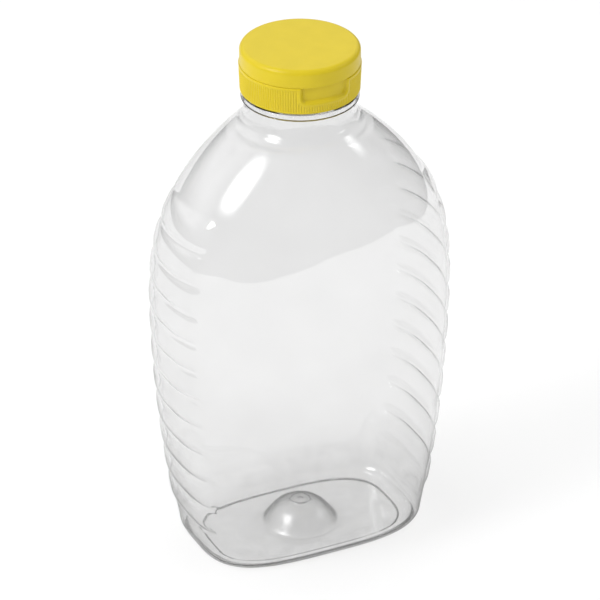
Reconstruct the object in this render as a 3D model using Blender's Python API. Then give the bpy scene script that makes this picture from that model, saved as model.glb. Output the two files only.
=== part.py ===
"""Clear plastic honey bottle with a yellow flip-top cap.

Metres, +Z up. The bottle stands on z = 0 with its axis on the Z axis. The two label panels
face -Y and +Y, the ribbed grips face -X and +X. The lid's thumb recess is at -Y and its
hinge at +Y.
"""

import math

import bmesh
import bpy

MM = 0.001

# Body: half sizes of its level sections, from the base ring up to the neck
BASE_HALF_WIDTH = 35.4 * MM
BASE_HALF_DEPTH = 21.7 * MM
HEEL_HALF_WIDTH = 41.2 * MM
HEEL_HALF_DEPTH = 27.0 * MM
HEEL_TOP = 6.6 * MM
WAIST_HALF_WIDTH = 51.2 * MM
WAIST_HALF_DEPTH = 36.5 * MM
WAIST_Z = 97.0 * MM
SHOULDER_TOP = 160.5 * MM
SHOULDER_TOP_RADIUS = 19.4 * MM

# How square a section is: 2 is an ellipse, more is a rounder-cornered rectangle
BASE_SQUARENESS = 3.3
WAIST_SQUARENESS = 2.4
NECK_SQUARENESS = 2.0

# How the half sizes grow below the waist and close in above it
WALL_POWER = 1.85
SHOULDER_WIDTH_POWER = 2.7
SHOULDER_DEPTH_POWER = 3.0

# Grips: lying pillows with round ends, one above the other on both narrow sides
PILLOW_COUNT = 11
PILLOW_PITCH = 11.05 * MM
PILLOW_FIRST_GROOVE = 14.5 * MM
PILLOW_RELIEF = 1.0 * MM
PILLOW_POWER = 3.0
PILLOW_HALF_LENGTH = 14.2 * MM
PILLOW_TOP_HALF_LENGTH = 10.4 * MM
PILLOW_SHORTER_FROM = 104.0 * MM

# Underside: a standing ring round a raised plate with a central dome pushed up
RING_WIDTH = 1.0 * MM
PLATE_RISE = 1.1 * MM
DOME_RADIUS = 12.7 * MM
DOME_RISE = 8.3 * MM
DOME_CROWN_RADIUS = 3.4 * MM
DOME_FULLNESS = 3.8
DOME_FOOT_POWER = 1.5

# Neck
WALL = 0.9 * MM
NECK_RADIUS = 17.8 * MM
NECK_BORE_RADIUS = 16.2 * MM
NECK_BEND = 162.3 * MM
NECK_BEND_RADIUS = 19.0 * MM
NECK_FOOT_RADIUS = 18.7 * MM
INNER_SHOULDER_TOP = 159.2 * MM
INNER_HEEL_SHARE = 0.6
BEAD_RADIUS = 19.8 * MM
BEAD_LOW = 167.0 * MM
BEAD_HIGH = 167.9 * MM
BEAD_ROUND = 0.3 * MM
MOUTH_Z = 178.2 * MM

# Cap
TOUCH_GAP = 0.3 * MM
CAP_RADIUS = 20.5 * MM
CAP_FOOT_RADIUS = 20.1 * MM
CAP_FOOT_Z = 170.4 * MM
CAP_BORE_RADIUS = 18.2 * MM
DECK_LOW = MOUTH_Z + TOUCH_GAP
DECK_HIGH = 180.0 * MM
RIB_COUNT = 144
RIB_DEPTH = 0.25 * MM
RIB_LOW = 170.8 * MM
RIB_HIGH = 179.0 * MM
RIM_BAND_LOW = 179.2 * MM
CAP_BEVEL = 0.25 * MM
SPOUT_RADIUS = 6.2 * MM
SPOUT_TIP_RADIUS = 5.0 * MM
SPOUT_BORE_RADIUS = 3.6 * MM
SPOUT_TOP = 182.8 * MM

# Thumb recess under the lid's front edge
RECESS_HALF_ANGLE = math.radians(26.0)
RECESS_FLOOR_Z = 174.2 * MM
RECESS_DEPTH = 1.3 * MM
RECESS_CORNER = 2.2 * MM
RECESS_SILL_DROP = 0.5 * MM
CUTTER_MARGIN = 2.0 * MM

# Lid
LID_RADIUS = 20.2 * MM
LID_LOW = DECK_HIGH + TOUCH_GAP
LID_HIGH = 186.4 * MM
LID_FILLET = 1.8 * MM
LID_BEVEL = 0.2 * MM
LID_WALL = 1.3 * MM
LID_INNER_CORNER = 0.8 * MM

# Hinge at the cap's back
HINGE_Y = 21.5 * MM
HINGE_Z = 180.15 * MM
KNUCKLE_RADIUS = 0.95 * MM
MIDDLE_KNUCKLE_HALF = 4.0 * MM
SIDE_KNUCKLE_LENGTH = 2.4 * MM
LEAF_ROOT_Y = 18.5 * MM
LEAF_THICKNESS = 0.75 * MM

SHARP_ANGLE = math.radians(30.0)

# Facets
QUADRANT_ANGLES = [0, 4.5, 9, 13, 16, 19, 22, 27, 33, 42, 55, 72]
ROWS_PER_PILLOW = 4
HEEL_STEPS = 5
SHOULDER_STEPS = 5
INNER_SHOULDER_STEPS = 7
INNER_SHOULDER_CROWDING = 1.3
INNER_WALL_STEPS = 5
DOME_STEPS = 6
RECESS_STEPS = 20
BARREL_STEPS = 9
FILLET_STEPS = 3
CAP_SIDES = 72
SPOUT_SIDES = 36
LID_SIDES = 48


def remove_everything():
    for item in list(bpy.data.objects):
        bpy.data.objects.remove(item, do_unlink=True)


def make_material(name, colour, roughness, transmission=0.0):
    material = bpy.data.materials.new(name)
    material.use_nodes = True
    shader = material.node_tree.nodes["Principled BSDF"]
    shader.inputs["Base Color"].default_value = (*colour, 1.0)
    shader.inputs["Roughness"].default_value = roughness
    shader.inputs["Metallic"].default_value = 0.0
    shader.inputs["Transmission Weight"].default_value = transmission
    shader.inputs["IOR"].default_value = 1.575 if transmission else 1.5
    return material


def circle(radius, z, sides):
    """A level ring of evenly spaced points, anticlockwise from +X."""
    step = 2 * math.pi / sides
    return [(radius * math.cos(step * i), radius * math.sin(step * i), z) for i in range(sides)]


def add_ring(mesh, points):
    return [mesh.verts.new(point) for point in points]


def join_rings(mesh, first, second):
    """Faces between two rings, the longer of which has a whole multiple of the other's points."""
    if len(first) < len(second):
        first, second = second, first
    ratio = len(first) // len(second)
    count = len(second)
    if ratio == 1:
        for i in range(count):
            j = (i + 1) % count
            mesh.faces.new((first[i], first[j], second[j], second[i]))
        return
    half = ratio // 2
    for i in range(count):
        following = second[(i + 1) % count]
        run = [first[(i * ratio + k) % len(first)] for k in range(ratio + 1)]
        for k in range(ratio):
            corner = second[i] if k < half else following
            mesh.faces.new((run[k], run[k + 1], corner))
        mesh.faces.new((run[half], following, second[i]))


def close_ring(mesh, ring, centre):
    """A fan of triangles from a ring to one point."""
    tip = mesh.verts.new(centre)
    for i, vert in enumerate(ring):
        mesh.faces.new((vert, ring[(i + 1) % len(ring)], tip))


def finish_object(name, mesh, material, origin=(0, 0, 0)):
    """Turn a bmesh into a named object at its origin, shaded smooth between sharp edges."""
    bmesh.ops.recalc_face_normals(mesh, faces=mesh.faces[:])
    bmesh.ops.translate(mesh, verts=mesh.verts[:], vec=[-value for value in origin])
    data = bpy.data.meshes.new(name)
    mesh.to_mesh(data)
    mesh.free()
    data.materials.append(material)
    data.shade_smooth()
    data.set_sharp_from_angle(angle=SHARP_ANGLE)
    item = bpy.data.objects.new(name, data)
    item.location = origin
    bpy.context.collection.objects.link(item)
    return item


def mix(start, end, share):
    return start + (end - start) * share


def body_section(z):
    """Half width, half depth and squareness of the bottle's level section at height z."""
    if z >= WAIST_Z:
        rise = (z - WAIST_Z) / (SHOULDER_TOP - WAIST_Z)
        width = mix(WAIST_HALF_WIDTH, SHOULDER_TOP_RADIUS, rise ** SHOULDER_WIDTH_POWER)
        depth = mix(WAIST_HALF_DEPTH, SHOULDER_TOP_RADIUS, rise ** SHOULDER_DEPTH_POWER)
        return width, depth, mix(WAIST_SQUARENESS, NECK_SQUARENESS, rise)
    drop = (WAIST_Z - z) / (WAIST_Z - HEEL_TOP)
    if z >= HEEL_TOP:
        width = mix(WAIST_HALF_WIDTH, HEEL_HALF_WIDTH, drop ** WALL_POWER)
        depth = mix(WAIST_HALF_DEPTH, HEEL_HALF_DEPTH, drop ** WALL_POWER)
        return width, depth, mix(WAIST_SQUARENESS, BASE_SQUARENESS, drop ** 2)
    round_share = math.sqrt(1 - (1 - z / HEEL_TOP) ** 2)
    width = mix(BASE_HALF_WIDTH, HEEL_HALF_WIDTH, round_share)
    depth = mix(BASE_HALF_DEPTH, HEEL_HALF_DEPTH, round_share)
    return width, depth, BASE_SQUARENESS


def section_point(half_width, half_depth, squareness, angle):
    """The point of a superellipse in the direction of angle."""
    across = abs(math.cos(angle) / half_width) ** squareness
    along = abs(math.sin(angle) / half_depth) ** squareness
    radius = (across + along) ** (-1 / squareness)
    return radius * math.cos(angle), radius * math.sin(angle)


def section_normal(half_width, half_depth, squareness, x, y):
    """The level direction that points straight out of a superellipse at (x, y)."""
    across = math.copysign(abs(x / half_width) ** (squareness - 1) / half_width, x)
    along = math.copysign(abs(y / half_depth) ** (squareness - 1) / half_depth, y)
    length = math.hypot(across, along)
    return across / length, along / length


def pillow_relief(y, z):
    """How far a grip's pillows stand out of the wall at depth y and height z."""
    row = (z - PILLOW_FIRST_GROOVE) / PILLOW_PITCH
    if not 0 <= row <= PILLOW_COUNT:
        return 0.0
    off_middle = (min(int(row), PILLOW_COUNT - 1) + 0.5 - row) * PILLOW_PITCH
    top = PILLOW_FIRST_GROOVE + PILLOW_COUNT * PILLOW_PITCH
    shortening = max(0.0, (z - PILLOW_SHORTER_FROM) / (top - PILLOW_SHORTER_FROM))
    half_length = mix(PILLOW_HALF_LENGTH, PILLOW_TOP_HALF_LENGTH, shortening)
    past_end = max(0.0, abs(y) - half_length)
    reach = math.hypot(past_end, off_middle) / (PILLOW_PITCH / 2)
    return PILLOW_RELIEF * max(0.0, 1 - reach ** PILLOW_POWER)


def column_angles():
    """Directions of the bottle's facet columns, closest together at the grips' ends."""
    quadrant = [math.radians(angle) for angle in QUADRANT_ANGLES]
    mirrored = [math.pi - angle for angle in reversed(quadrant[1:])]
    half = quadrant + [math.pi / 2] + mirrored
    return half + [angle + math.pi for angle in half]


def outer_ring(z, columns):
    """The bottle's outside at height z, pillows included."""
    half_width, half_depth, squareness = body_section(z)
    ring = []
    for angle in columns:
        x, y = section_point(half_width, half_depth, squareness, angle)
        across, along = section_normal(half_width, half_depth, squareness, x, y)
        relief = pillow_relief(y, z)
        ring.append((x + across * relief, y + along * relief, z))
    return ring


def inner_ring(z, columns):
    """The bottle's inside at height z, one wall in from the plain section."""
    half_width, half_depth, squareness = body_section(z)
    return [(*section_point(half_width - WALL, half_depth - WALL, squareness, angle), z)
            for angle in columns]


def plate_ring(inset, z, columns):
    """A ring on the base plate, inset from the standing ring."""
    return [(*section_point(BASE_HALF_WIDTH - inset, BASE_HALF_DEPTH - inset,
                            BASE_SQUARENESS, angle), z) for angle in columns]


def round_ring(radius, z, columns):
    return [(radius * math.cos(angle), radius * math.sin(angle), z) for angle in columns]


def dome_rings(radius, low, columns):
    """Rings of the base's dome, from its crown out to its foot."""
    rings = []
    for step in range(DOME_STEPS + 1):
        share = mix(DOME_CROWN_RADIUS / DOME_RADIUS, 1.0, step / DOME_STEPS)
        height = (1 - share ** DOME_FULLNESS) ** DOME_FOOT_POWER
        rings.append(round_ring(radius * share, low + DOME_RISE * height, columns))
    return rings


def bottle_outside(columns):
    """Rings from the dome's crown, out under the base, up the wall and the neck to the mouth."""
    rings = dome_rings(DOME_RADIUS, PLATE_RISE, columns)
    rings.append(plate_ring(RING_WIDTH + PLATE_RISE, PLATE_RISE, columns))
    rings.append(plate_ring(RING_WIDTH, 0.0, columns))
    for step in range(HEEL_STEPS):
        turn = math.pi / 2 * step / HEEL_STEPS
        rings.append(outer_ring(HEEL_TOP * (1 - math.cos(turn)), columns))
    rings.append(outer_ring(HEEL_TOP, columns))
    rings.append(outer_ring(mix(HEEL_TOP, PILLOW_FIRST_GROOVE, 0.5), columns))
    rows = PILLOW_COUNT * ROWS_PER_PILLOW
    for row in range(rows + 1):
        z = PILLOW_FIRST_GROOVE + PILLOW_PITCH * row / ROWS_PER_PILLOW
        rings.append(outer_ring(z, columns))
    grips_top = PILLOW_FIRST_GROOVE + PILLOW_COUNT * PILLOW_PITCH
    for step in range(1, SHOULDER_STEPS + 1):
        rings.append(outer_ring(mix(grips_top, SHOULDER_TOP, step / SHOULDER_STEPS), columns))
    rings.append(round_ring(NECK_BEND_RADIUS, NECK_BEND, columns))
    rings.append(round_ring(NECK_FOOT_RADIUS, BEAD_LOW, columns))
    rings.append(round_ring(BEAD_RADIUS, BEAD_LOW + BEAD_ROUND, columns))
    rings.append(round_ring(BEAD_RADIUS, BEAD_HIGH - BEAD_ROUND, columns))
    rings.append(round_ring(NECK_RADIUS, BEAD_HIGH, columns))
    rings.append(round_ring(NECK_RADIUS, MOUTH_Z, columns))
    return rings


def bottle_inside(columns):
    """Rings from the mouth down the inside to the dome's crown."""
    rings = [round_ring(NECK_BORE_RADIUS, MOUTH_Z, columns),
             round_ring(NECK_BORE_RADIUS, NECK_BEND, columns)]
    for step in range(1, INNER_SHOULDER_STEPS + 1):
        share = (step / INNER_SHOULDER_STEPS) ** INNER_SHOULDER_CROWDING
        rings.append(inner_ring(mix(INNER_SHOULDER_TOP, WAIST_Z, share), columns))
    for step in range(1, INNER_WALL_STEPS + 1):
        rings.append(inner_ring(mix(WAIST_Z, HEEL_TOP, step / INNER_WALL_STEPS), columns))
    floor_z = PLATE_RISE + WALL
    middle_of_heel = mix(HEEL_TOP, floor_z, INNER_HEEL_SHARE)
    rings.append(inner_ring(middle_of_heel, columns))
    rings.append(inner_ring(floor_z, columns))
    rings.extend(reversed(dome_rings(DOME_RADIUS + WALL, floor_z, columns)))
    return rings


def make_bottle(material):
    columns = column_angles()
    mesh = bmesh.new()
    outside = bottle_outside(columns)
    inside = bottle_inside(columns)
    rings = [add_ring(mesh, ring) for ring in outside + inside]
    for first, second in zip(rings, rings[1:]):
        join_rings(mesh, first, second)
    close_ring(mesh, rings[0], (0, 0, PLATE_RISE + DOME_RISE))
    close_ring(mesh, rings[-1], (0, 0, PLATE_RISE + WALL + DOME_RISE))
    return finish_object("bottle", mesh, material)


def rib_ring(foot_radius, z):
    """A zigzag ring of sharp crests and valleys, one pair for each rib."""
    points = []
    step = 2 * math.pi / RIB_COUNT / 2
    for i in range(2 * RIB_COUNT):
        radius = foot_radius if i % 2 else foot_radius - RIB_DEPTH
        points.append((radius * math.cos(step * i), radius * math.sin(step * i), z))
    return points


def make_recess_cutter():
    """A curved slab that takes the thumb recess out of the skirt's front, open at the top."""
    mesh = bmesh.new()
    inner = CAP_RADIUS - RECESS_DEPTH
    outer = CAP_RADIUS + CUTTER_MARGIN
    top = DECK_HIGH + CUTTER_MARGIN
    half_width = RECESS_HALF_ANGLE * CAP_RADIUS
    slices = []
    for step in range(RECESS_STEPS + 1):
        turn = -math.cos(math.pi * step / RECESS_STEPS)
        to_edge = half_width * (1 - abs(turn))
        lift = 0.0
        if to_edge < RECESS_CORNER:
            lift = RECESS_CORNER - math.sqrt(RECESS_CORNER ** 2 - (RECESS_CORNER - to_edge) ** 2)
        angle = -math.pi / 2 + RECESS_HALF_ANGLE * turn
        low = RECESS_FLOOR_Z + lift
        sill = low - RECESS_SILL_DROP
        corners = [(inner, low), (outer, sill), (outer, top), (inner, top)]
        slices.append([mesh.verts.new((radius * math.cos(angle), radius * math.sin(angle), z))
                       for radius, z in corners])
    for first, second in zip(slices, slices[1:]):
        for i in range(4):
            j = (i + 1) % 4
            mesh.faces.new((first[i], first[j], second[j], second[i]))
    mesh.faces.new(slices[0])
    mesh.faces.new(slices[-1])
    return mesh


def make_knuckle(mesh, x_low, x_high, leaf_side):
    """A hinge barrel along X with the leaf that ties it to the cap, as one closed body.

    leaf_side is -1 for a leaf under the barrel's middle and 1 for one above it.
    """
    leaf_near = KNUCKLE_RADIUS - LEAF_THICKNESS
    start = math.pi - math.asin(leaf_near / KNUCKLE_RADIUS)
    end = 2 * math.pi + math.pi / 2
    outline = []
    for step in range(BARREL_STEPS + 1):
        turn = mix(start, end, step / BARREL_STEPS)
        outline.append((HINGE_Y + KNUCKLE_RADIUS * math.cos(turn),
                        HINGE_Z + leaf_side * KNUCKLE_RADIUS * math.sin(turn)))
    outline.append((LEAF_ROOT_Y, HINGE_Z + leaf_side * KNUCKLE_RADIUS))
    outline.append((LEAF_ROOT_Y, HINGE_Z + leaf_side * leaf_near))
    ends = [[mesh.verts.new((x, y, z)) for y, z in outline] for x in (x_low, x_high)]
    for i in range(len(outline)):
        j = (i + 1) % len(outline)
        mesh.faces.new((ends[0][i], ends[0][j], ends[1][j], ends[1][i]))
    mesh.faces.new(ends[0])
    mesh.faces.new(ends[1])


def make_tool(name, mesh):
    """A hidden body that a Boolean reads."""
    bmesh.ops.recalc_face_normals(mesh, faces=mesh.faces[:])
    data = bpy.data.meshes.new(name)
    mesh.to_mesh(data)
    mesh.free()
    tool = bpy.data.objects.new(name, data)
    bpy.context.collection.objects.link(tool)
    tool.hide_render = True
    tool.display_type = "WIRE"
    return tool


def add_boolean(item, tool, operation):
    modifier = item.modifiers.new(tool.name, "BOOLEAN")
    modifier.operation = operation
    modifier.solver = "EXACT"
    modifier.object = tool


def make_cap_base(material):
    """The screwed-on part of the cap: ribbed skirt, deck and spout."""
    mesh = bmesh.new()
    foot_share = (RIB_LOW - CAP_FOOT_Z) / (RIB_HIGH - CAP_FOOT_Z)
    ribs_low = add_ring(mesh, rib_ring(mix(CAP_FOOT_RADIUS, CAP_RADIUS, foot_share), RIB_LOW))
    ribs_high = add_ring(mesh, rib_ring(CAP_RADIUS, RIB_HIGH))
    join_rings(mesh, ribs_low, ribs_high)
    profile = [
        (CAP_FOOT_RADIUS - CAP_BEVEL, CAP_FOOT_Z, CAP_SIDES),
        (CAP_BORE_RADIUS, CAP_FOOT_Z, CAP_SIDES),
        (CAP_BORE_RADIUS, DECK_LOW, SPOUT_SIDES),
        (SPOUT_BORE_RADIUS, DECK_LOW, SPOUT_SIDES),
        (SPOUT_BORE_RADIUS, SPOUT_TOP, SPOUT_SIDES),
        (SPOUT_TIP_RADIUS, SPOUT_TOP, SPOUT_SIDES),
        (SPOUT_RADIUS, DECK_HIGH, SPOUT_SIDES),
        (CAP_RADIUS - CAP_BEVEL, DECK_HIGH, CAP_SIDES),
        (CAP_RADIUS, DECK_HIGH - CAP_BEVEL, CAP_SIDES),
        (CAP_RADIUS, RIM_BAND_LOW, CAP_SIDES),
    ]
    rings = [add_ring(mesh, circle(radius, z, sides)) for radius, z, sides in profile]
    for first, second in zip(rings, rings[1:]):
        join_rings(mesh, first, second)
    join_rings(mesh, ribs_low, rings[0])
    join_rings(mesh, ribs_high, rings[-1])
    cap_base = finish_object("cap_base", mesh, material)
    add_boolean(cap_base, make_tool("recess_cutter", make_recess_cutter()), "DIFFERENCE")
    knuckle = bmesh.new()
    make_knuckle(knuckle, -MIDDLE_KNUCKLE_HALF, MIDDLE_KNUCKLE_HALF, -1)
    add_boolean(cap_base, make_tool("base_knuckle", knuckle), "UNION")
    return cap_base


def make_cap_lid(material):
    """The flip-top lid: a shallow cup upside down, with its origin on the hinge axis."""
    mesh = bmesh.new()
    profile = [(LID_RADIUS - LID_BEVEL, LID_LOW), (LID_RADIUS, LID_LOW + LID_BEVEL)]
    for step in range(FILLET_STEPS + 1):
        turn = math.pi / 2 * step / FILLET_STEPS
        profile.append((LID_RADIUS - LID_FILLET * (1 - math.cos(turn)),
                        LID_HIGH - LID_FILLET * (1 - math.sin(turn))))
    outside = [add_ring(mesh, circle(radius, z, LID_SIDES)) for radius, z in profile]
    ceiling = LID_HIGH - LID_WALL
    inner_radius = LID_RADIUS - LID_WALL
    inner_profile = [(inner_radius, LID_LOW), (inner_radius, ceiling - LID_INNER_CORNER),
                     (inner_radius - LID_INNER_CORNER, ceiling)]
    inside = [add_ring(mesh, circle(radius, z, LID_SIDES)) for radius, z in inner_profile]
    for rings in (outside, inside):
        for first, second in zip(rings, rings[1:]):
            join_rings(mesh, first, second)
    join_rings(mesh, outside[0], inside[0])
    close_ring(mesh, outside[-1], (0, 0, LID_HIGH))
    close_ring(mesh, inside[-1], (0, 0, ceiling))
    cap_lid = finish_object("cap_lid", mesh, material, origin=(0, HINGE_Y, HINGE_Z))
    knuckles = bmesh.new()
    near = MIDDLE_KNUCKLE_HALF + TOUCH_GAP
    far = near + SIDE_KNUCKLE_LENGTH
    make_knuckle(knuckles, near, far, 1)
    make_knuckle(knuckles, -far, -near, 1)
    add_boolean(cap_lid, make_tool("lid_knuckles", knuckles), "UNION")
    return cap_lid


def main():
    remove_everything()
    clear = make_material("clear_plastic", (0.93, 0.95, 0.96), 0.06, transmission=1.0)
    yellow = make_material("yellow_plastic", (0.78, 0.58, 0.03), 0.32)
    make_bottle(clear)
    make_cap_base(yellow)
    make_cap_lid(yellow)


main()
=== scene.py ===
"""Looks of the clear plastic honey bottle with its yellow flip-top cap."""

import math

import bmesh
import bpy
import numpy as np
from mathutils import Matrix, Vector


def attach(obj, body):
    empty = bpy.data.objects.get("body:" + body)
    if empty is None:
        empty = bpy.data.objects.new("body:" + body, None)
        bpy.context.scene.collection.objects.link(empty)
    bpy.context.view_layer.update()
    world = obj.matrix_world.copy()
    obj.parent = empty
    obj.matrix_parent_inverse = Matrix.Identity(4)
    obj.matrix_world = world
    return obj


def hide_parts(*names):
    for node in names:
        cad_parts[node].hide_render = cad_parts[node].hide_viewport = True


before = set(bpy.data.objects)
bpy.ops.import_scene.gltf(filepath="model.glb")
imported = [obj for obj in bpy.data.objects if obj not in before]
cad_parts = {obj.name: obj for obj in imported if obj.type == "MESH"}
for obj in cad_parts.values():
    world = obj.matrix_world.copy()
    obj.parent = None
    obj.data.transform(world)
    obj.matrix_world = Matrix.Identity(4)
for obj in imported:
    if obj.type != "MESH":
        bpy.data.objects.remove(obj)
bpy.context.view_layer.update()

MM = 0.001

# Camera, as fitted to the photograph's outline
CAMERA_AZIMUTH = math.radians(-25.8)
CAMERA_ELEVATION = math.radians(29.74)
CAMERA_DISTANCE = 1.717
PIXELS_PER_METRE = 2940.0
PICTURE_PIXELS = 600
TARGET_HEIGHT = 87.84 * MM
TARGET_ABOVE_CENTRE = -2.6 / PIXELS_PER_METRE
SENSOR_WIDTH = 36.0
CLIP_START = 0.01
CLIP_END = 50.0

# The bottle's level sections
BASE_HALF_WIDTH = 35.4 * MM
BASE_HALF_DEPTH = 21.7 * MM
HEEL_HALF_WIDTH = 41.2 * MM
HEEL_HALF_DEPTH = 27.0 * MM
HEEL_TOP = 6.6 * MM
WAIST_HALF_WIDTH = 51.2 * MM
WAIST_HALF_DEPTH = 36.5 * MM
WAIST_Z = 97.0 * MM
SHOULDER_TOP = 160.5 * MM
SHOULDER_TOP_RADIUS = 19.4 * MM
BASE_SQUARENESS = 3.3
WAIST_SQUARENESS = 2.4
NECK_SQUARENESS = 2.0
WALL_POWER = 1.85
SHOULDER_WIDTH_POWER = 2.7
SHOULDER_DEPTH_POWER = 3.0

# Grips
PILLOW_COUNT = 11
PILLOW_PITCH = 11.05 * MM
PILLOW_FIRST_GROOVE = 14.5 * MM
PILLOW_RELIEF = 1.0 * MM
PILLOW_FULLNESS = 3.3
PILLOW_CORNER = 3.0 * MM
PILLOW_HALF_LENGTH = 14.0 * MM
PILLOW_TOP_HALF_LENGTH = 11.3 * MM
PILLOW_END_SHARE = 0.9
PILLOW_END_FROM = 0.2
GROOVE_ROUND = 0.4 * MM
PILLOW_SHORTER_FROM = 104.0 * MM
GRIPS_TOP = PILLOW_FIRST_GROOVE + PILLOW_COUNT * PILLOW_PITCH

# Underside
STANDING_RING_WIDTH = 1.0 * MM
PLATE_RISE = 1.1 * MM
DOME_RADIUS = 12.7 * MM
DOME_RISE = 8.3 * MM
DOME_FULLNESS = 3.8
DOME_FOOT_POWER = 1.5
BUTTON_RADIUS = 3.4 * MM
BUTTON_RISE = 0.5 * MM
BUTTON_EDGE = 0.3 * MM
NUB_RADIUS = 0.9 * MM
NUB_RISE = 0.25 * MM
NUB_INNER_EDGE = 0.4 * MM
NUB_OUTER_EDGE = 0.2 * MM
INNER_FLOOR_INSET = 0.6 * MM
INNER_FLOOR_CLEARANCE = 0.2 * MM

# Neck and wall
BODY_WALL = 0.5 * MM
NECK_RADIUS = 17.8 * MM
NECK_BORE_RADIUS = 17.0 * MM
NECK_ROOT = 159.9 * MM
NECK_BEND_RADIUS = 19.0 * MM
NECK_BEND = 162.3 * MM
NECK_FOOT_RADIUS = 18.7 * MM
NECK_STRAIGHT_FROM = 166.0 * MM
BEAD_RADIUS = 19.8 * MM
BEAD_LOW = 167.5 * MM
BEAD_HIGH = 168.0 * MM
BEAD_ROUND = 0.22 * MM
COLLAR_RADIUS = 19.5 * MM
COLLAR_HIGH = 169.6 * MM
COLLAR_ROUND = 0.25 * MM
MOUTH_Z = 178.2 * MM
BORE_BEND_RISE = 2.0 * MM

# Cap
CAP_RADIUS = 20.5 * MM
CAP_FOOT_RADIUS = 20.1 * MM
CAP_FOOT_Z = 170.4 * MM
CAP_FOOT_BEVEL = 0.25 * MM
CAP_BORE_RADIUS = 18.2 * MM
CAP_BORE_CHAMFER = 0.3 * MM
DECK_LOW = 178.5 * MM
DECK_HIGH = 180.0 * MM
DECK_EDGE_HEIGHT = 0.12 * MM
DECK_EDGE = [(0.06 * MM, 0.03 * MM), (0.15 * MM, 0.0)]
RIB_COUNT = 144
RIB_DEPTH = 0.22 * MM
RIB_LOW = 170.9 * MM
RIB_HIGH = 179.1 * MM
RIB_FADE_OUTSIDE = 0.1 * MM
RIB_FADE_INSIDE = 0.3 * MM
RIBS_FROM_RECESS = (0.9 * MM, 1.3 * MM)
SPOUT_RADIUS = 6.2 * MM
SPOUT_FOOT_FILLET = 1.0 * MM
SPOUT_TIP_RADIUS = 5.0 * MM
SPOUT_TIP_ROUND = 0.4 * MM
SPOUT_TIP_TAPER = 0.1 * MM
SPOUT_BORE_RADIUS = 3.6 * MM
SPOUT_BORE_CHAMFER = 0.2 * MM
SPOUT_TOP = 182.8 * MM
RECESS_HALF_ANGLE = math.radians(25.3)
RECESS_FLOOR_Z = 174.2 * MM
RECESS_DEPTH = 1.15 * MM
RECESS_CORNER = 2.2 * MM
RECESS_SLOPE = 1.0 * MM
RECESS_BORDER = 0.1 * MM
RECESS_BORDER_OFFSET = 0.35 * MM
RECESS_BORDER_WIDTH = 0.3 * MM

# Lid and hinge
LID_RADIUS = 20.2 * MM
LID_LOW = 180.04 * MM
LID_HIGH = 186.4 * MM
LID_EDGE = 0.06 * MM
LID_FILLET = 1.8 * MM
LID_CROWN = 0.12 * MM
LID_WALL = 1.3 * MM
LID_CEILING_SHARE = 0.3
LID_INNER_ROUND = 0.8 * MM
LID_INNER_CHAMFER = 0.15 * MM
HINGE_Y = 21.5 * MM
HINGE_Z = 180.15 * MM
KNUCKLE_RADIUS = 0.95 * MM
KNUCKLE_BEVEL = 0.12 * MM
KNUCKLE_END_SHARE = 0.94
MIDDLE_KNUCKLE_HALF = 4.0 * MM
KNUCKLE_GAP = 0.3 * MM
SIDE_KNUCKLE_LENGTH = 2.4 * MM
LEAF_ROOT_Y = 18.5 * MM
LEAF_THICKNESS = 0.75 * MM

# Mesh fineness
BODY_COLUMNS = 256
COLUMN_SAMPLES = 721
COLUMN_CROWDING = 1.3
CROWDING_DEGREES = 20.0
CROWDING_SPREAD = 11.0
ROWS_PER_PILLOW = 20
HEEL_RINGS = 15
LOWER_RINGS = 8
SHOULDER_RINGS = 24
INNER_RINGS_LEFT_OUT = 3
DOME_SHARE_SPANS = [(0.02, 0.1, 6), (0.14, 0.23, 4), (0.24, 0.3, 7), (0.33, 1.0, 30)]
PLATE_STEPS = 10
PLATE_EDGE_STEPS = 5
NECK_BEND_STEPS = 10
BORE_BEND_STEPS = 8
ROUND_STEPS = 5
CAP_COLUMNS = RIB_COUNT * 6
SKIRT_SPANS = [(RIB_LOW - 0.1 * MM, RIB_LOW + 0.4 * MM, 6),
               (RIB_LOW + 0.6 * MM, RIB_HIGH - 0.5 * MM, 30),
               (RIB_HIGH - 0.3 * MM, RIB_HIGH + 0.2 * MM, 6)]
LID_COLUMNS = 192
LID_FILLET_STEPS = 14
LID_TOP_RINGS = 9
KNUCKLE_POINTS = 28
SHARP_DEGREES = 40.0

# Yellow plastic
YELLOW = (0.68, 0.526, 0.0130)
DEEPER_YELLOW = (0.65, 0.503, 0.011)
YELLOW_IOR = 1.49
YELLOW_SPECULAR = 0.35
YELLOW_ROUGHNESS = (0.30, 0.38)
MOTTLE_SCALE = 140.0
MOTTLE_DETAIL = 3.0
GRAIN_SCALE = 2600.0
GRAIN_DEPTH = 0.02 * MM
GRAIN_STRENGTH = 0.5

# Clear plastic
CLEAR_IOR = 1.575
CLEAR_TONES = (0.92, 0.9)
CLEAR_ROUGHNESS = (0.02, 0.05)
WAVE_SCALE = 55.0
WAVE_DETAIL = 1.5
WAVE_DEPTH = 0.25 * MM
WAVE_STRENGTH = 0.35
HAZE_SCALE = 220.0
CLOUDY_HEIGHTS = (9.5 * MM, 12.0 * MM)
CLOUDY_REACHES = (13.0 * MM, 18.0 * MM)
CLOUDY_ROUGHNESS = 0.2
CLOUDY_DARKENING = 0.05
SHADOW_HEIGHTS = (2.0 * MM, 12.0 * MM)
SHADOW_TONES = (0.98, 0.885)

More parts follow.
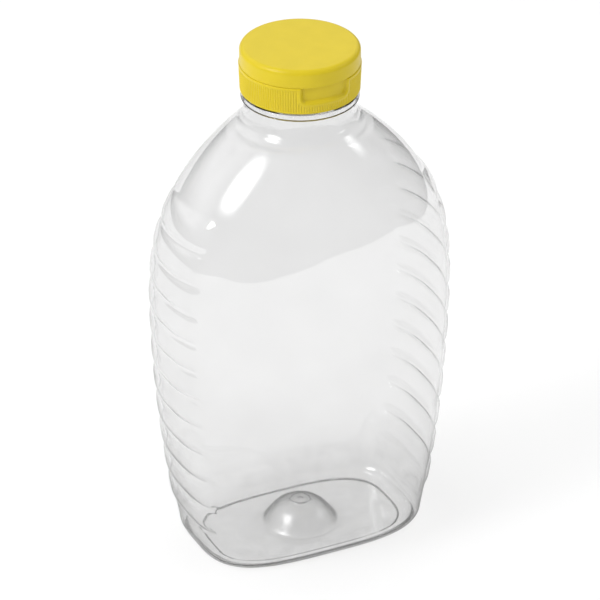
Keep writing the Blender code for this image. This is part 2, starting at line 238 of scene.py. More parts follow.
# Table and room. Each table edge is a direction and how far off it lies; the edges and the dark
# room past them are painted into the table's reflection
TABLE_WHITE = 0.93
TABLE_HALF_WIDTH = 6.0
TABLE_EDGES = [((0, -1, 0), 0.54), ((1, 0, 0), 0.75), ((-1, 0, 0), 1.0)]
TABLE_EDGE_SOFTNESS = 0.02
# Glow of the table's painted reflection, in place of the lit table
TABLE_REFLECTION_GLOW = 0.95
TABLE_MIRRORED_FROM = (0.06, 0.1)
HORIZON_WHITE = 0.87
ZENITH_WHITE = 1.37
FRONT_SHARE = 0.62
FRONT_DEPTHS = (-1.0, 0.2)
BENT_DARK = 0.5
BENT_HEIGHTS = (0.2, 0.45)
ROOM_DARK = 0.03
BACKDROP_WHITE = 1.2
BACKDROP_DEPTHS = (0.1, 0.5)
BACKDROP_HEIGHTS = (0.1, 0.35)

# Lamps
KEY_PLACE = (-1.5, -0.15, 1.44)
KEY_TARGET = (-0.02, -0.01, 0.1)
KEY_WIDTH = 1.2
KEY_HEIGHT = 1.2
KEY_WATTS = 75.0
RIGHT_PLACE = (1.73, -0.63, 1.3)
RIGHT_TARGET = (0, 0, 0.12)
RIGHT_SIZE = 0.85
RIGHT_WATTS = 12.0
LIGHT_FADE = 1.0


def mix(start, end, share):
    return start + (end - start) * share


def smooth_step(low, high, value):
    share = np.clip((value - low) / (high - low), 0.0, 1.0)
    return share * share * (3 - 2 * share)


def body_section(z):
    """Half width, half depth and squareness of the bottle's level section at height z."""
    if z >= WAIST_Z:
        rise = (z - WAIST_Z) / (SHOULDER_TOP - WAIST_Z)
        width = mix(WAIST_HALF_WIDTH, SHOULDER_TOP_RADIUS, rise ** SHOULDER_WIDTH_POWER)
        depth = mix(WAIST_HALF_DEPTH, SHOULDER_TOP_RADIUS, rise ** SHOULDER_DEPTH_POWER)
        return width, depth, mix(WAIST_SQUARENESS, NECK_SQUARENESS, rise)
    drop = (WAIST_Z - z) / (WAIST_Z - HEEL_TOP)
    if z >= HEEL_TOP:
        width = mix(WAIST_HALF_WIDTH, HEEL_HALF_WIDTH, drop ** WALL_POWER)
        depth = mix(WAIST_HALF_DEPTH, HEEL_HALF_DEPTH, drop ** WALL_POWER)
        return width, depth, mix(WAIST_SQUARENESS, BASE_SQUARENESS, drop ** 2)
    round_share = math.sqrt(max(0.0, 1 - (1 - z / HEEL_TOP) ** 2))
    width = mix(BASE_HALF_WIDTH, HEEL_HALF_WIDTH, round_share)
    depth = mix(BASE_HALF_DEPTH, HEEL_HALF_DEPTH, round_share)
    return width, depth, BASE_SQUARENESS


def superellipse(half_width, half_depth, squareness, angles, z):
    """A level ring of points in the given directions."""
    across = np.abs(np.cos(angles) / half_width) ** squareness
    along = np.abs(np.sin(angles) / half_depth) ** squareness
    radius = (across + along) ** (-1 / squareness)
    return np.stack([radius * np.cos(angles), radius * np.sin(angles),
                     np.full_like(angles, z)], axis=1)


def level_normals(points, half_width, half_depth, squareness):
    """Level directions that point straight out of a superellipse."""
    x, y = points[:, 0], points[:, 1]
    across = np.sign(x) * np.abs(x / half_width) ** (squareness - 1) / half_width
    along = np.sign(y) * np.abs(y / half_depth) ** (squareness - 1) / half_depth
    length = np.hypot(across, along)
    return np.stack([across / length, along / length, np.zeros_like(x)], axis=1)


def pillow_relief(y, z):
    """How far a grip's pillows stand out of the wall at depths y and height z."""
    row = (z - PILLOW_FIRST_GROOVE) / PILLOW_PITCH
    if not 0 <= row <= PILLOW_COUNT:
        return np.zeros_like(y)
    off_middle = (min(int(row), PILLOW_COUNT - 1) + 0.5 - row) * PILLOW_PITCH
    shortening = max(0.0, (z - PILLOW_SHORTER_FROM) / (GRIPS_TOP - PILLOW_SHORTER_FROM))
    half_length = mix(PILLOW_HALF_LENGTH, PILLOW_TOP_HALF_LENGTH, shortening)
    half_height = PILLOW_PITCH / 2
    past_end = np.abs(y) - (half_length + half_height - PILLOW_CORNER)
    past_side = abs(off_middle) - (half_height - PILLOW_CORNER)
    outside = np.hypot(np.maximum(past_end, 0.0), max(past_side, 0.0))
    from_edge = PILLOW_CORNER - outside - np.minimum(np.maximum(past_end, past_side), 0.0)
    rounded = np.hypot(np.maximum(from_edge, 0.0), GROOVE_ROUND) - GROOVE_ROUND
    reach = 1 - rounded / (np.hypot(half_height, GROOVE_ROUND) - GROOVE_ROUND)
    towards_end = smooth_step(PILLOW_END_FROM, 1.0, np.abs(y) / (half_length + half_height))
    height = PILLOW_RELIEF * mix(1.0, PILLOW_END_SHARE, towards_end)
    return height * (1 - reach ** PILLOW_FULLNESS)


def body_angles():
    """Column directions, closest together where the grips end."""
    fine = np.linspace(0.0, math.pi / 2, COLUMN_SAMPLES)
    off_end = (np.degrees(fine) - CROWDING_DEGREES) / CROWDING_SPREAD
    crowding = 1 + COLUMN_CROWDING * np.exp(-off_end ** 2)
    filled = np.concatenate([[0.0], np.cumsum((crowding[1:] + crowding[:-1]) / 2)])
    quarter = BODY_COLUMNS // 4
    first = np.interp(np.linspace(0, filled[-1], quarter + 1), filled, fine)
    half = np.concatenate([first, math.pi - first[::-1][1:-1]])
    return np.concatenate([half, half + math.pi])


def wall_ring(z, angles):
    """The bottle's outside at height z, with its pillows."""
    half_width, half_depth, squareness = body_section(z)
    points = superellipse(half_width, half_depth, squareness, angles, z)
    normals = level_normals(points, half_width, half_depth, squareness)
    return points + normals * pillow_relief(points[:, 1], z)[:, None]


def circle(radius, z, angles):
    """A level circle of points in the given directions."""
    return np.stack([radius * np.cos(angles), radius * np.sin(angles),
                     np.full_like(angles, z)], axis=1)


def curve_points(start, control, end, steps):
    """Points of a quadratic curve after its start."""
    made = []
    for step in range(1, steps + 1):
        t = step / steps
        made.append(tuple((1 - t) ** 2 * a + 2 * t * (1 - t) * b + t ** 2 * c
                          for a, b, c in zip(start, control, end)))
    return made


def arc_points(centre, radius, from_degrees, to_degrees, steps):
    """Points of a turned profile's arc, as (radius, height)."""
    made = []
    for step in range(steps + 1):
        turn = math.radians(mix(from_degrees, to_degrees, step / steps))
        made.append((centre[0] + radius * math.cos(turn), centre[1] + radius * math.sin(turn)))
    return made


def dome_rings(radius, low, angles):
    """Rings of the dome and the low button on its crown, from the middle out to its foot."""
    rings = []
    for share in np.concatenate([np.linspace(*span) for span in DOME_SHARE_SPANS]):
        height = (DOME_RISE - BUTTON_RISE) * (1 - share ** DOME_FULLNESS) ** DOME_FOOT_POWER
        reach = share * DOME_RADIUS
        past_button = smooth_step(BUTTON_RADIUS - BUTTON_EDGE, BUTTON_RADIUS + BUTTON_EDGE, reach)
        past_nub = smooth_step(NUB_RADIUS - NUB_INNER_EDGE, NUB_RADIUS + NUB_OUTER_EDGE, reach)
        height += BUTTON_RISE * (1 - past_button)
        height += NUB_RISE * (1 - past_nub)
        rings.append(circle(radius * share, low + height, angles))
    return rings


def base_outline(angles, inset, z):
    """The base's outline, drawn in by the inset."""
    half_width, half_depth = BASE_HALF_WIDTH - inset, BASE_HALF_DEPTH - inset
    return superellipse(half_width, half_depth, BASE_SQUARENESS, angles, z)


def base_rings(angles, radius, low, inset):
    """Flat rings from the dome's foot out to the edge of the base plate."""
    inner = circle(radius, low, angles)
    outer = base_outline(angles, inset, low)
    return [mix(inner, outer, share) for share in np.linspace(0, 1, PLATE_STEPS + 1)[1:]]


def grid_normals(rings):
    """Outward unit normals of a grid of rings."""
    upward = np.gradient(rings, axis=0)
    onward = (np.roll(rings, -1, axis=1) - np.roll(rings, 1, axis=1)) / 2
    normals = np.cross(onward, upward)
    return normals / np.maximum(np.linalg.norm(normals, axis=2, keepdims=True), 1e-12)


def body_heights():
    """Heights of the rings from the foot of the heel up to the shoulder's top."""
    heel = [HEEL_TOP * (1 - math.cos(turn)) for turn in np.linspace(0, math.pi / 2, HEEL_RINGS)]
    rise = list(np.linspace(HEEL_TOP, PILLOW_FIRST_GROOVE, LOWER_RINGS)[1:-1])
    grips = list(np.linspace(PILLOW_FIRST_GROOVE, GRIPS_TOP, PILLOW_COUNT * ROWS_PER_PILLOW + 1))
    shoulder = list(np.linspace(GRIPS_TOP, NECK_ROOT, SHOULDER_RINGS)[1:])
    return heel + rise + grips + shoulder


def mesh_from_rings(name, rings, material, centre_first=None, centre_last=None):
    """A closed mesh through rings of equal length, with its ends closed in points or on itself."""
    count = len(rings[0])
    points = np.concatenate(rings)
    faces = []
    around = np.arange(count)
    following = (around + 1) % count
    for row in range(len(rings) - 1):
        low, high = row * count, (row + 1) * count
        corners = [low + around, low + following, high + following, high + around]
        faces.append(np.stack(corners, axis=1))
    quads = np.concatenate(faces).tolist()
    verts = points.tolist()
    if centre_first is not None:
        verts.append(tuple(centre_first))
        tip = len(verts) - 1
        quads += [(int(b), int(a), tip) for a, b in zip(around, following)]
    if centre_last is not None:
        verts.append(tuple(centre_last))
        tip = len(verts) - 1
        low = (len(rings) - 1) * count
        quads += [(int(low + a), int(low + b), tip) for a, b in zip(around, following)]
    if centre_first is None:
        low = (len(rings) - 1) * count
        quads += [(int(low + a), int(low + b), int(b), int(a)) for a, b in zip(around, following)]
    data = bpy.data.meshes.new(name)
    data.from_pydata(verts, [], quads)
    return finish_piece(name, data, material)


def finish_piece(name, data, material):
    """Turns the mesh's faces outwards, smooths it between its sharp edges and makes its object."""
    shape = bmesh.new()
    shape.from_mesh(data)
    bmesh.ops.recalc_face_normals(shape, faces=shape.faces[:])
    shape.to_mesh(data)
    shape.free()
    data.shade_smooth()
    data.set_sharp_from_angle(angle=math.radians(SHARP_DEGREES))
    data.materials.append(material)
    piece = bpy.data.objects.new(name, data)
    bpy.context.collection.objects.link(piece)
    return piece


def make_bottle(material):
    """The blown shell: outside from the dome's crown to the mouth, then back down the inside."""
    angles = body_angles()
    under = dome_rings(DOME_RADIUS, PLATE_RISE, angles)
    plate_inset = STANDING_RING_WIDTH + PLATE_RISE
    under += base_rings(angles, DOME_RADIUS, PLATE_RISE, plate_inset)
    for share in np.linspace(0, 1, PLATE_EDGE_STEPS + 1)[1:]:
        turn = share * math.pi / 2
        inset = STANDING_RING_WIDTH + PLATE_RISE * (1 - math.sin(turn))
        under.append(base_outline(angles, inset, PLATE_RISE * math.cos(turn)))
    body = [wall_ring(z, angles) for z in body_heights()]
    root_radius = float(np.hypot(body[-1][:, 0], body[-1][:, 1]).mean())
    root = curve_points((root_radius, NECK_ROOT), (NECK_BEND_RADIUS, NECK_BEND),
                        (NECK_FOOT_RADIUS, NECK_STRAIGHT_FROM), NECK_BEND_STEPS)
    middle = BEAD_RADIUS - BEAD_ROUND
    collar_middle = (COLLAR_RADIUS - COLLAR_ROUND, COLLAR_HIGH - COLLAR_ROUND)
    bead = [(NECK_FOOT_RADIUS, BEAD_LOW)]
    bead += arc_points((middle, BEAD_LOW + BEAD_ROUND), BEAD_ROUND, -90, 0, ROUND_STEPS)
    bead += arc_points((middle, BEAD_HIGH - BEAD_ROUND), BEAD_ROUND, 0, 90, ROUND_STEPS)
    bead += [(COLLAR_RADIUS, BEAD_HIGH)]
    bead += arc_points(collar_middle, COLLAR_ROUND, 0, 90, ROUND_STEPS)
    bead += [(NECK_RADIUS, COLLAR_HIGH), (NECK_RADIUS, MOUTH_Z)]
    neck = [circle(radius, z, angles) for radius, z in root + bead]
    grid = np.array(body)
    inner = grid - grid_normals(grid) * BODY_WALL
    floor_z = PLATE_RISE + BODY_WALL
    lowest = floor_z + INNER_FLOOR_CLEARANCE
    inner_rows = [ring for ring in inner[:-INNER_RINGS_LEFT_OUT] if ring[:, 2].min() > lowest]
    top = inner_rows[-1]
    top_radius = float(np.hypot(top[:, 0], top[:, 1]).mean())
    top_z = float(top[:, 2].mean())
    bore = curve_points((top_radius, top_z), (NECK_BORE_RADIUS, top_z + BORE_BEND_RISE),
                        (NECK_BORE_RADIUS, NECK_STRAIGHT_FROM), BORE_BEND_STEPS)
    bore = [circle(radius, z, angles) for radius, z in bore + [(NECK_BORE_RADIUS, MOUTH_Z)]]
    inner_floor = base_rings(angles, DOME_RADIUS + BODY_WALL, floor_z, INNER_FLOOR_INSET)
    inner_dome = dome_rings(DOME_RADIUS + BODY_WALL, floor_z, angles)
    rings = under + body + neck
    for part in (bore, inner_rows, inner_floor, inner_dome):
        rings += part[::-1]
    crown = PLATE_RISE + DOME_RISE + NUB_RISE
    return mesh_from_rings("bottle_shell", rings, material, (0, 0, crown),
                           (0, 0, crown + BODY_WALL))


def recess_depth(angles, z):
    """Depth of the thumb recess less the height of its raised border, and how far inside it is."""
    turned = (angles + math.pi / 2 + math.pi) % (2 * math.pi) - math.pi
    across = np.abs(turned) * CAP_RADIUS
    half = RECESS_HALF_ANGLE * CAP_RADIUS
    past_side = across - (half - RECESS_CORNER)
    past_floor = RECESS_FLOOR_Z + RECESS_CORNER - z
    outside = np.hypot(np.maximum(past_side, 0), max(past_floor, 0.0))
    inside = np.minimum(np.maximum(past_side, past_floor), 0.0)
    distance = RECESS_CORNER - (outside + inside)
    off_border = (distance + RECESS_BORDER_OFFSET) / RECESS_BORDER_WIDTH
    border = RECESS_BORDER * np.exp(-off_border ** 2)
    return RECESS_DEPTH * smooth_step(0.0, RECESS_SLOPE, distance) - border, distance


def skirt_ring(z, angles):
    """The skirt's outside at height z: upright ribs, left out round the thumb recess."""
    foot_share = (z - CAP_FOOT_Z) / (DECK_HIGH - CAP_FOOT_Z)
    radius = np.full_like(angles, mix(CAP_FOOT_RADIUS, CAP_RADIUS, foot_share))
    groove = 0.5 - 0.5 * np.cos(RIB_COUNT * angles)
    ends = smooth_step(RIB_LOW - RIB_FADE_OUTSIDE, RIB_LOW + RIB_FADE_INSIDE, z)
    ends *= 1 - smooth_step(RIB_HIGH - RIB_FADE_INSIDE, RIB_HIGH + RIB_FADE_OUTSIDE, z)
    depth, distance = recess_depth(angles, z)
    past_recess = smooth_step(*RIBS_FROM_RECESS, -distance)
    return circle(radius - RIB_DEPTH * groove * ends * past_recess - depth, z, angles)


def skirt_heights():
    """Heights of the skirt's rings, close together where its ribs begin and end."""
    heights = [CAP_FOOT_Z + CAP_FOOT_BEVEL]
    for span in SKIRT_SPANS:
        heights += list(np.linspace(*span))
    return heights + [DECK_HIGH - DECK_EDGE_HEIGHT]


def spout_profile():
    """The spout's outside from the deck up, over its tip and into its bore."""
    fillet = SPOUT_FOOT_FILLET
    tip = (SPOUT_TIP_RADIUS - SPOUT_TIP_ROUND, SPOUT_TOP - SPOUT_TIP_ROUND)
    profile = [(SPOUT_RADIUS + fillet, DECK_HIGH)]
    foot_middle = (SPOUT_RADIUS + fillet, DECK_HIGH + fillet)
    profile += arc_points(foot_middle, fillet, 270, 195, ROUND_STEPS)
    profile += [(SPOUT_TIP_RADIUS + SPOUT_TIP_TAPER, SPOUT_TOP - SPOUT_TIP_ROUND)]
    profile += arc_points(tip, SPOUT_TIP_ROUND, 10, 90, ROUND_STEPS)
    profile += [(SPOUT_BORE_RADIUS + SPOUT_BORE_CHAMFER, SPOUT_TOP)]
    return profile + [(SPOUT_BORE_RADIUS, SPOUT_TOP - SPOUT_BORE_CHAMFER)]


def make_skirt(material):
    """The cap's lower part: ribbed skirt with thumb recess, deck and spout."""
    angles = np.arange(CAP_COLUMNS) * 2 * math.pi / CAP_COLUMNS
    outside = [skirt_ring(z, angles) for z in skirt_heights()]
    rim = outside[-1].copy()
    rim_radius = np.hypot(rim[:, 0], rim[:, 1])
    for inset, drop in DECK_EDGE:
        edge = rim * ((rim_radius - inset) / rim_radius)[:, None]
        edge[:, 2] = DECK_HIGH - drop
        outside.append(edge)
    bore = [(CAP_BORE_RADIUS + CAP_BORE_CHAMFER, CAP_FOOT_Z),
            (CAP_BORE_RADIUS, CAP_FOOT_Z + CAP_BORE_CHAMFER),
            (CAP_BORE_RADIUS, DECK_LOW), (SPOUT_BORE_RADIUS, DECK_LOW)]
    foot = circle(CAP_FOOT_RADIUS - CAP_FOOT_BEVEL, CAP_FOOT_Z, angles)
    rings = [circle(radius, z, angles) for radius, z in bore[::-1]] + [foot] + outside
    rings += [circle(radius, z, angles) for radius, z in spout_profile()]
    return mesh_from_rings("cap_skirt", rings, material)


def make_lid(material):
    """The flip-top lid: a shallow cup upside down with a rounded edge."""
    angles = np.arange(LID_COLUMNS) * 2 * math.pi / LID_COLUMNS
    profile = [(LID_RADIUS - LID_EDGE, LID_LOW), (LID_RADIUS, LID_LOW + LID_EDGE)]
    shoulder = LID_HIGH - LID_CROWN
    fillet_middle = (LID_RADIUS - LID_FILLET, shoulder - LID_FILLET)
    profile += arc_points(fillet_middle, LID_FILLET, 0, 90, LID_FILLET_STEPS)
    for share in np.linspace(1, 0, LID_TOP_RINGS)[1:-1]:
        radius = (LID_RADIUS - LID_FILLET) * share
        profile.append((radius, shoulder + LID_CROWN * (1 - share ** 2)))
    inner_radius = LID_RADIUS - LID_WALL
    ceiling = LID_HIGH - LID_WALL
    inside = [(LID_CEILING_SHARE * inner_radius, ceiling)]
    round_middle = (inner_radius - LID_INNER_ROUND, ceiling - LID_INNER_ROUND)
    inside += arc_points(round_middle, LID_INNER_ROUND, 90, 0, ROUND_STEPS)
    inside += [(inner_radius, LID_LOW + LID_INNER_CHAMFER)]
    inside += [(inner_radius + LID_INNER_CHAMFER, LID_LOW)]
    rings = [circle(radius, z, angles) for radius, z in inside + profile]
    return mesh_from_rings("lid_shell", rings, material, (0, 0, ceiling), (0, 0, LID_HIGH))


def make_knuckle(name, spans, leaf_side, material):
    """Hinge barrels along X with the leaf that ties each to the cap."""
    leaf_near = KNUCKLE_RADIUS - LEAF_THICKNESS
    start = math.pi - math.asin(leaf_near / KNUCKLE_RADIUS)
    end = 2 * math.pi + math.pi / 2
    outline = []
    for turn in np.linspace(start, end, KNUCKLE_POINTS):
        outline.append((HINGE_Y + KNUCKLE_RADIUS * math.cos(turn),
                        HINGE_Z + leaf_side * KNUCKLE_RADIUS * math.sin(turn)))
    outline.append((LEAF_ROOT_Y, HINGE_Z + leaf_side * KNUCKLE_RADIUS))
    outline.append((LEAF_ROOT_Y, HINGE_Z + leaf_side * leaf_near))
    verts, faces = [], []
    count = len(outline)
    centre = (sum(y for y, z in outline) / count, sum(z for y, z in outline) / count)
    for low, high in spans:
        shares = [(low, KNUCKLE_END_SHARE), (low + KNUCKLE_BEVEL, 1.0),
                  (high - KNUCKLE_BEVEL, 1.0), (high, KNUCKLE_END_SHARE)]
        first = len(verts)
        for x, share in shares:
            verts += [(x, mix(centre[0], y, share), mix(centre[1], z, share)) for y, z in outline]
        for ring in range(3):
            for i in range(count):
                j = (i + 1) % count
                a, b = first + ring * count, first + (ring + 1) * count
                faces.append((a + i, a + j, b + j, b + i))
        faces.append(tuple(range(first, first + count)))
        faces.append(tuple(range(first + 3 * count, first + 4 * count)))
    data = bpy.data.meshes.new(name)
    data.from_pydata(verts, [], faces)
    return finish_piece(name, data, material)


def new_material(name):
    material = bpy.data.materials.new(name)
    material.use_nodes = True
    material.node_tree.nodes.clear()
    return material, material.node_tree.nodes, material.node_tree.links


def add_noise(nodes, links, source, scale, detail=2.0):
    noise = nodes.new("ShaderNodeTexNoise")
    noise.inputs["Scale"].default_value = scale
    noise.inputs["Detail"].default_value = detail
    links.new(source, noise.inputs["Vector"])
    return noise.outputs["Fac"]


def add_range(nodes, links, source, low, high, from_low=0.3, from_high=0.7):
    """Maps the source from one span to another. Unless given, the first is a noise's usual span."""
    spread = nodes.new("ShaderNodeMapRange")
    spread.inputs["From Min"].default_value = from_low
    spread.inputs["From Max"].default_value = from_high
    spread.inputs["To Min"].default_value = low
    spread.inputs["To Max"].default_value = high
    links.new(source, spread.inputs["Value"])
    return spread.outputs["Result"]


def add_colours(nodes, links, source, first, second):
    blend = nodes.new("ShaderNodeMix")
    blend.data_type = "RGBA"
    blend.inputs["A"].default_value = (*first, 1.0)
    blend.inputs["B"].default_value = (*second, 1.0)
    links.new(source, blend.inputs["Factor"])
    return blend.outputs["Result"]


def add_bump(nodes, links, source, distance, strength):
    bump = nodes.new("ShaderNodeBump")
    bump.inputs["Strength"].default_value = strength
    bump.inputs["Distance"].default_value = distance
    links.new(source, bump.inputs["Height"])
    return bump.outputs["Normal"]


def add_product(nodes, links, first, second):
    product = nodes.new("ShaderNodeMath")
    product.operation = "MULTIPLY"
    links.new(first, product.inputs[0])
    links.new(second, product.inputs[1])
    return product.outputs["Value"]


def make_yellow():
    """Satin moulded plastic: a saturated yellow with slight mottling and a fine grain."""
    material, nodes, links = new_material("yellow_moulded")
    place = nodes.new("ShaderNodeTexCoord").outputs["Object"]
    mottle = add_noise(nodes, links, place, MOTTLE_SCALE, MOTTLE_DETAIL)
    grain = add_noise(nodes, links, place, GRAIN_SCALE)
    shader = nodes.new("ShaderNodeBsdfPrincipled")
    shader.inputs["IOR"].default_value = YELLOW_IOR
    shader.inputs["Specular IOR Level"].default_value = YELLOW_SPECULAR
    share = add_range(nodes, links, mottle, 0.0, 1.0)
    links.new(add_colours(nodes, links, share, YELLOW, DEEPER_YELLOW), shader.inputs["Base Color"])
    links.new(add_range(nodes, links, grain, *YELLOW_ROUGHNESS), shader.inputs["Roughness"])
    links.new(add_bump(nodes, links, grain, GRAIN_DEPTH, GRAIN_STRENGTH), shader.inputs["Normal"])
    output = nodes.new("ShaderNodeOutputMaterial")
    links.new(shader.outputs["BSDF"], output.inputs["Surface"])
    return material


def make_clear():
    """Clear colourless blown plastic, cloudier at its base. Lamps shine through it."""
    material, nodes, links = new_material("clear_blown")
    place = nodes.new("ShaderNodeTexCoord").outputs["Object"]
    parts = nodes.new("ShaderNodeSeparateXYZ")
    links.new(place, parts.inputs["Vector"])
    flat = nodes.new("ShaderNodeCombineXYZ")
    links.new(parts.outputs["X"], flat.inputs["X"])
    links.new(parts.outputs["Y"], flat.inputs["Y"])
    from_axis = nodes.new("ShaderNodeVectorMath")
    from_axis.operation = "LENGTH"
    links.new(flat.outputs["Vector"], from_axis.inputs[0])
    low = add_range(nodes, links, parts.outputs["Z"], 1.0, 0.0, *CLOUDY_HEIGHTS)
    middle = add_range(nodes, links, from_axis.outputs["Value"], 1.0, 0.0, *CLOUDY_REACHES)
    waves = add_noise(nodes, links, place, WAVE_SCALE, WAVE_DETAIL)
    haze = add_noise(nodes, links, place, HAZE_SCALE)
    shader = nodes.new("ShaderNodeBsdfPrincipled")
    shader.inputs["IOR"].default_value = CLEAR_IOR
    shader.inputs["Transmission Weight"].default_value = 1.0
    clouds = add_product(nodes, links, low, add_range(nodes, links, haze, 0.0, CLOUDY_DARKENING))
    tone = nodes.new("ShaderNodeMath")
    tone.operation = "SUBTRACT"
    links.new(add_range(nodes, links, waves, *CLEAR_TONES), tone.inputs[0])
    links.new(clouds, tone.inputs[1])
    links.new(tone.outputs["Value"], shader.inputs["Base Color"])
    gate = add_product(nodes, links, low, middle)
    rough = nodes.new("ShaderNodeMath")
    rough.operation = "MULTIPLY_ADD"
    links.new(gate, rough.inputs[0])
    rough.inputs[1].default_value = CLOUDY_ROUGHNESS
    links.new(add_range(nodes, links, haze, *CLEAR_ROUGHNESS), rough.inputs[2])
    links.new(rough.outputs["Value"], shader.inputs["Roughness"])
    links.new(add_bump(nodes, links, waves, WAVE_DEPTH, WAVE_STRENGTH), shader.inputs["Normal"])
    through = nodes.new("ShaderNodeBsdfTransparent")
    wall = add_range(nodes, links, parts.outputs["Z"], 0.0, 1.0, *SHADOW_HEIGHTS)
    tones = [(grey,) * 3 for grey in SHADOW_TONES]
    links.new(add_colours(nodes, links, wall, *tones), through.inputs["Color"])
    path = nodes.new("ShaderNodeLightPath")
    either = nodes.new("ShaderNodeMath")
    either.operation = "MAXIMUM"
    links.new(path.outputs["Is Shadow Ray"], either.inputs[0])
    links.new(path.outputs["Is Diffuse Ray"], either.inputs[1])
    choose = nodes.new("ShaderNodeMixShader")
    links.new(either.outputs["Value"], choose.inputs["Fac"])
    links.new(shader.outputs["BSDF"], choose.inputs[1])
    links.new(through.outputs["BSDF"], choose.inputs[2])
    output = nodes.new("ShaderNodeOutputMaterial")
    links.new(choose.outputs["Shader"], output.inputs["Surface"])
    return material


def add_choice(nodes, links, factor, first, second):
    """The first value where the factor is 0, and the second, or else 1, where it is 1."""
    choice = nodes.new("ShaderNodeMix")
    links.new(factor, choice.inputs["Factor"])
    links.new(first, choice.inputs["A"])
    choice.inputs["B"].default_value = 1.0
    if second:
        links.new(second, choice.inputs["B"])
    return choice.outputs["Result"]


def is_mirrored(nodes, links):
    """1 where the view has been reflected at least once on its way, otherwise 0."""
    path = nodes.new("ShaderNodeLightPath")
    above = nodes.new("ShaderNodeMath")
    above.operation = "GREATER_THAN"
    above.inputs[1].default_value = 0.5
    links.new(path.outputs["Glossy Depth"], above.inputs[0])
    return above.outputs["Value"]


def make_floor():
    """A white table. What the bottle mirrors of it further off is a painted reflection: an even
    glow, with painted dark room past the table's front edges.
    """
    material, nodes, links = new_material("white_table")
    table = nodes.new("ShaderNodeBsdfDiffuse")
    table.inputs["Color"].default_value = (TABLE_WHITE, TABLE_WHITE, TABLE_WHITE, 1.0)
    # Painted reflection: in mirrored views the table further off glows evenly instead of being lit,
    # and past its edges it is painted dark
    mirrored = nodes.new("ShaderNodeEmission")
    place = nodes.new("ShaderNodeNewGeometry")
    edge = None
    for direction, reach in TABLE_EDGES:
        along = nodes.new("ShaderNodeVectorMath")
        along.operation = "DOT_PRODUCT"
        links.new(place.outputs["Position"], along.inputs[0])
        along.inputs[1].default_value = Vector(direction).normalized()
        inside = add_range(nodes, links, along.outputs["Value"], 1.0, 0.0,
                           reach - TABLE_EDGE_SOFTNESS, reach + TABLE_EDGE_SOFTNESS)
        if edge is None:
            edge = inside
            continue
        edge = add_product(nodes, links, edge, inside)
    links.new(add_colours(nodes, links, edge, (ROOM_DARK,) * 3, (TABLE_REFLECTION_GLOW,) * 3),
              mirrored.inputs["Color"])
    away = nodes.new("ShaderNodeVectorMath")
    away.operation = "LENGTH"
    links.new(place.outputs["Position"], away.inputs[0])
    far = add_range(nodes, links, away.outputs["Value"], 0.0, 1.0, *TABLE_MIRRORED_FROM)
    choose = nodes.new("ShaderNodeMixShader")
    links.new(add_product(nodes, links, is_mirrored(nodes, links), far), choose.inputs["Fac"])
    links.new(table.outputs["BSDF"], choose.inputs[1])
    links.new(mirrored.outputs["Emission"], choose.inputs[2])
    output = nodes.new("ShaderNodeOutputMaterial")
    links.new(choose.outputs["Shader"], output.inputs["Surface"])
    return material


def add_floor():
    data = bpy.data.meshes.new("table")
    half = TABLE_HALF_WIDTH
    corners = [(-half, -half, 0), (half, -half, 0), (half, half, 0), (-half, half, 0)]
    data.from_pydata(corners, [], [(0, 1, 2, 3)])
    data.materials.append(make_floor())
    floor = bpy.data.objects.new("table", data)
    bpy.context.collection.objects.link(floor)


def set_world():
    """A bright room, darker in front. What the bottle bends or mirrors of it is darker above."""
    world = bpy.data.worlds.new("studio")
    bpy.context.scene.world = world
    world.use_nodes = True
    nodes, links = world.node_tree.nodes, world.node_tree.links
    nodes.clear()
    background = nodes.new("ShaderNodeBackground")
    place = nodes.new("ShaderNodeTexCoord").outputs["Generated"]
    parts = nodes.new("ShaderNodeSeparateXYZ")
    links.new(place, parts.inputs["Vector"])
    path = nodes.new("ShaderNodeLightPath")
    rise = add_range(nodes, links, parts.outputs["Z"], HORIZON_WHITE, ZENITH_WHITE, 0.0, 1.0)
    front = add_range(nodes, links, parts.outputs["Y"], FRONT_SHARE, 1.0, *FRONT_DEPTHS)
    lit = add_product(nodes, links, rise, front)
    bent = add_range(nodes, links, parts.outputs["Z"], 1.0, BENT_DARK, *BENT_HEIGHTS)
    behind = add_range(nodes, links, parts.outputs["Y"], 0.0, 1.0, *BACKDROP_DEPTHS)
    high = add_range(nodes, links, parts.outputs["Z"], 0.0, 1.0, *BACKDROP_HEIGHTS)
    backdrop = add_product(nodes, links, behind, high)
    mirrored = add_range(nodes, links, backdrop, ROOM_DARK, BACKDROP_WHITE, 0.0, 1.0)
    seen = add_choice(nodes, links, path.outputs["Is Transmission Ray"], lit, bent)
    seen = add_choice(nodes, links, is_mirrored(nodes, links), seen, mirrored)
    seen = add_choice(nodes, links, path.outputs["Is Camera Ray"], seen, None)
    links.new(seen, background.inputs["Strength"])
    output = nodes.new("ShaderNodeOutputWorld")
    links.new(background.outputs["Background"], output.inputs["Surface"])


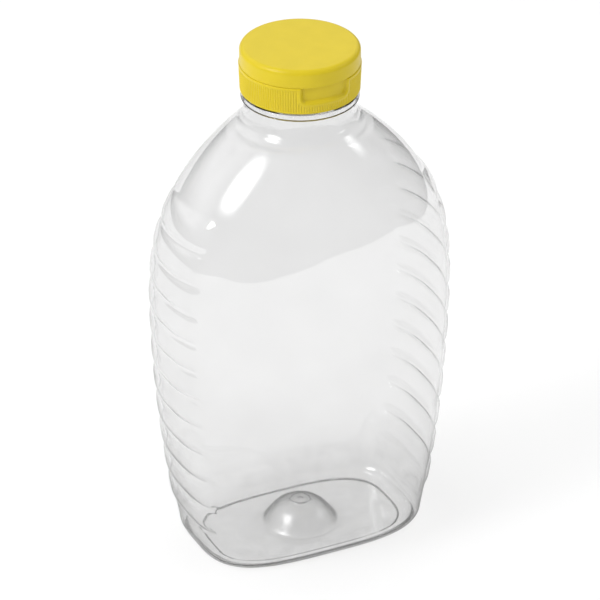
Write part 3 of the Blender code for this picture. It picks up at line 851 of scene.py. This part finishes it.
def soften_edges(data, edge):
    """Lets a soft box fade out towards its edges, over the given share of its half width."""
    data.use_nodes = True
    nodes, links = data.node_tree.nodes, data.node_tree.links
    nodes.clear()
    parts = nodes.new("ShaderNodeSeparateXYZ")
    links.new(nodes.new("ShaderNodeNewGeometry").outputs["Parametric"], parts.inputs["Vector"])
    shares = []
    for axis in ("X", "Y"):
        centred = nodes.new("ShaderNodeMath")
        centred.operation = "SUBTRACT"
        centred.inputs[1].default_value = 0.5
        links.new(parts.outputs[axis], centred.inputs[0])
        away = nodes.new("ShaderNodeMath")
        away.operation = "ABSOLUTE"
        links.new(centred.outputs["Value"], away.inputs[0])
        fade = nodes.new("ShaderNodeMapRange")
        fade.interpolation_type = "SMOOTHSTEP"
        fade.inputs["From Min"].default_value = 0.5 * (1 - edge)
        fade.inputs["From Max"].default_value = 0.5
        fade.inputs["To Min"].default_value = 1.0
        fade.inputs["To Max"].default_value = 0.0
        links.new(away.outputs["Value"], fade.inputs["Value"])
        shares.append(fade.outputs["Result"])
    glow = nodes.new("ShaderNodeEmission")
    links.new(add_product(nodes, links, *shares), glow.inputs["Strength"])
    links.new(glow.outputs["Emission"], nodes.new("ShaderNodeOutputLight").inputs["Surface"])


def add_light(name, place, target, width, height, watts):
    data = bpy.data.lights.new(name, "AREA")
    data.shape = "RECTANGLE"
    data.size = width
    data.size_y = height
    data.energy = watts
    soften_edges(data, LIGHT_FADE)
    light = bpy.data.objects.new(name, data)
    light.location = place
    direction = Vector(target) - Vector(place)
    light.rotation_euler = direction.to_track_quat("-Z", "Y").to_euler()
    bpy.context.collection.objects.link(light)


def add_camera():
    sin_a, cos_a = math.sin(CAMERA_AZIMUTH), math.cos(CAMERA_AZIMUTH)
    sin_e, cos_e = math.sin(CAMERA_ELEVATION), math.cos(CAMERA_ELEVATION)
    right = Vector((cos_a, sin_a, 0))
    back = Vector((sin_a * cos_e, -cos_a * cos_e, sin_e))
    up = back.cross(right)
    centre = Vector((0, 0, TARGET_HEIGHT)) - up * TARGET_ABOVE_CENTRE
    data = bpy.data.cameras.new("camera")
    data.sensor_width = SENSOR_WIDTH
    data.lens = SENSOR_WIDTH * PIXELS_PER_METRE * CAMERA_DISTANCE / PICTURE_PIXELS
    data.clip_start = CLIP_START
    data.clip_end = CLIP_END
    camera = bpy.data.objects.new("camera", data)
    turn = Matrix((right, up, back)).transposed().to_4x4()
    camera.matrix_world = Matrix.Translation(centre + back * CAMERA_DISTANCE) @ turn
    bpy.context.collection.objects.link(camera)
    bpy.context.scene.camera = camera


add_camera()
clear = make_clear()
yellow = make_yellow()

bottle = make_bottle(clear)
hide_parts("bottle")
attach(bottle, "bottle_body")

skirt = make_skirt(yellow)
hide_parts("cap_base")
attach(skirt, "bottle_body")
middle_span = (-MIDDLE_KNUCKLE_HALF, MIDDLE_KNUCKLE_HALF)
middle_knuckle = make_knuckle("hinge_middle", [middle_span], -1, yellow)
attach(middle_knuckle, "bottle_body")

lid = make_lid(yellow)
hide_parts("cap_lid")
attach(lid, "lid")
near_end = MIDDLE_KNUCKLE_HALF + KNUCKLE_GAP
far_end = near_end + SIDE_KNUCKLE_LENGTH
side_spans = [(near_end, far_end), (-far_end, -near_end)]
side_knuckles = make_knuckle("hinge_sides", side_spans, 1, yellow)
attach(side_knuckles, "lid")

add_floor()
set_world()
add_light("key", KEY_PLACE, KEY_TARGET, KEY_WIDTH, KEY_HEIGHT, KEY_WATTS)
add_light("right", RIGHT_PLACE, RIGHT_TARGET, RIGHT_SIZE, RIGHT_SIZE, RIGHT_WATTS)
bpy.context.scene.view_settings.view_transform = "Standard"
